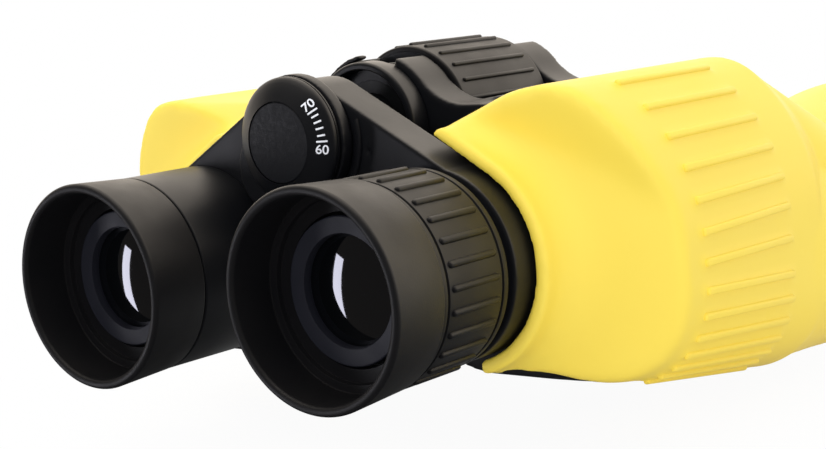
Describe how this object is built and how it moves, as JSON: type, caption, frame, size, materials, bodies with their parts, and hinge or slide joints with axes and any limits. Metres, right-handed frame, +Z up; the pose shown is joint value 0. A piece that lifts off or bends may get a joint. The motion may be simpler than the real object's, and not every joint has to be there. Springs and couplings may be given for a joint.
{
  "type": "binoculars",
  "caption": "Porro-prism binoculars with centre hinge and centre focusing, ribbed rubber armour, folding rubber eyecups, a dioptre ring and an eye-spacing scale.",
  "frame": {"origin": "middle of the width and of the length, at the level of the lowest point of the objective bells", "axes": "+X to the user's right, +Y along the line of sight from the eyecups to the objectives, +Z up"},
  "size_m": [0.158, 0.172, 0.0761],
  "materials": {
    "armour_rubber": "satin yellow",
    "eyecup_rubber": "matt black",
    "arm_casting": "black paint, fine texture",
    "case_casting": "black paint",
    "ocular_metal": "black anodised",
    "objective_metal": "black anodised",
    "lens_glass": "coated",
    "prism_glass": "polished",
    "steel": "plain",
    "dioptre_rubber": "matt black, ribbed",
    "sleeve_plastic": "matt black",
    "hinge_metal": "black paint",
    "brass": "plain",
    "wheel_plastic": "black",
    "wheel_rubber": "matt black, ribbed",
    "scale_plastic": "black, white scale",
    "inlay_plastic": "black, grained"
  },
  "bodies": {
    "left_barrel": {"left_housing": "case_casting", "left_rear_cover": "case_casting", "left_front_cover": "case_casting", "left_armour": "armour_rubber", "left_cover_screws": "steel", "left_prism_rear": "prism_glass", "left_prism_front": "prism_glass", "left_prism_clips": "steel", "left_objective_tube": "objective_metal", "left_objective_cell": "objective_metal", "left_objective_crown": "lens_glass", "left_objective_flint": "lens_glass", "left_objective_lock_ring": "objective_metal", "hinge_cap": "hinge_metal", "hinge_tube": "steel", "hinge_pin": "steel"},
    "right_barrel": {"right_housing": "case_casting", "right_rear_cover": "case_casting", "right_front_cover": "case_casting", "right_armour": "armour_rubber", "right_cover_screws": "steel", "right_prism_rear": "prism_glass", "right_prism_front": "prism_glass", "right_prism_clips": "steel", "right_objective_tube": "objective_metal", "right_objective_cell": "objective_metal", "right_objective_crown": "lens_glass", "right_objective_flint": "lens_glass", "right_objective_lock_ring": "objective_metal"},
    "focus_wheel": {"focus_wheel": "wheel_plastic", "focus_grip": "wheel_rubber", "focus_screw": "brass"},
    "left_eyepiece": {"left_arm": "arm_casting", "left_sleeve": "sleeve_plastic", "focus_spindle": "brass", "scale_disc": "scale_plastic", "scale_inlay": "inlay_plastic", "bridge_screw": "steel", "left_ocular_barrel": "ocular_metal", "left_eye_lens": "lens_glass", "left_eye_lens_ring": "ocular_metal", "left_field_lens": "lens_glass", "left_field_lens_ring": "ocular_metal", "left_eyecup": "eyecup_rubber"},
    "right_eyepiece": {"right_arm": "arm_casting"},
    "right_ocular": {"right_ocular_barrel": "ocular_metal", "right_eye_lens": "lens_glass", "right_eye_lens_ring": "ocular_metal", "right_field_lens": "lens_glass", "right_field_lens_ring": "ocular_metal", "right_eyecup": "eyecup_rubber"},
    "dioptre_ring": {"dioptre_ring": "dioptre_rubber"}
  },
  "joints": [
    {"name": "ipd_hinge", "type": "hinge", "parent": "left_barrel", "child": "right_barrel", "pos_m": [0, -0.0085, 0.0606], "axis": [0, -1, 0], "range_deg": [-2.4, 41.4]},
    {"name": "focus_turn", "type": "hinge", "parent": "left_barrel", "child": "focus_wheel", "pos_m": [0, -0.0085, 0.0606], "axis": [0, 1, 0], "range_deg": [-360, 90]},
    {"name": "left_focus_slide", "type": "slide", "parent": "left_barrel", "child": "left_eyepiece", "axis": [0, 1, 0], "range_m": [-0.006, 0.0015]},
    {"name": "right_focus_slide", "type": "slide", "parent": "right_barrel", "child": "right_eyepiece", "axis": [0, 1, 0], "range_m": [-0.006, 0.0015]},
    {"name": "dioptre_slide", "type": "slide", "parent": "right_eyepiece", "child": "right_ocular", "axis": [0, 1, 0], "range_m": [-0.0015, 0.0015]},
    {"name": "dioptre_turn", "type": "hinge", "parent": "right_ocular", "child": "dioptre_ring", "pos_m": [0.0285, -0.064, 0.037], "axis": [0, 1, 0], "range_deg": [-75, 75]}
  ],
  "couplings": [
    {"joint": "left_focus_slide", "follows": "focus_turn", "m_per_rad": 0.00095493},
    {"joint": "right_focus_slide", "follows": "focus_turn", "m_per_rad": 0.00095493},
    {"joint": "dioptre_slide", "follows": "dioptre_turn", "m_per_rad": 0.0011459}
  ]
}
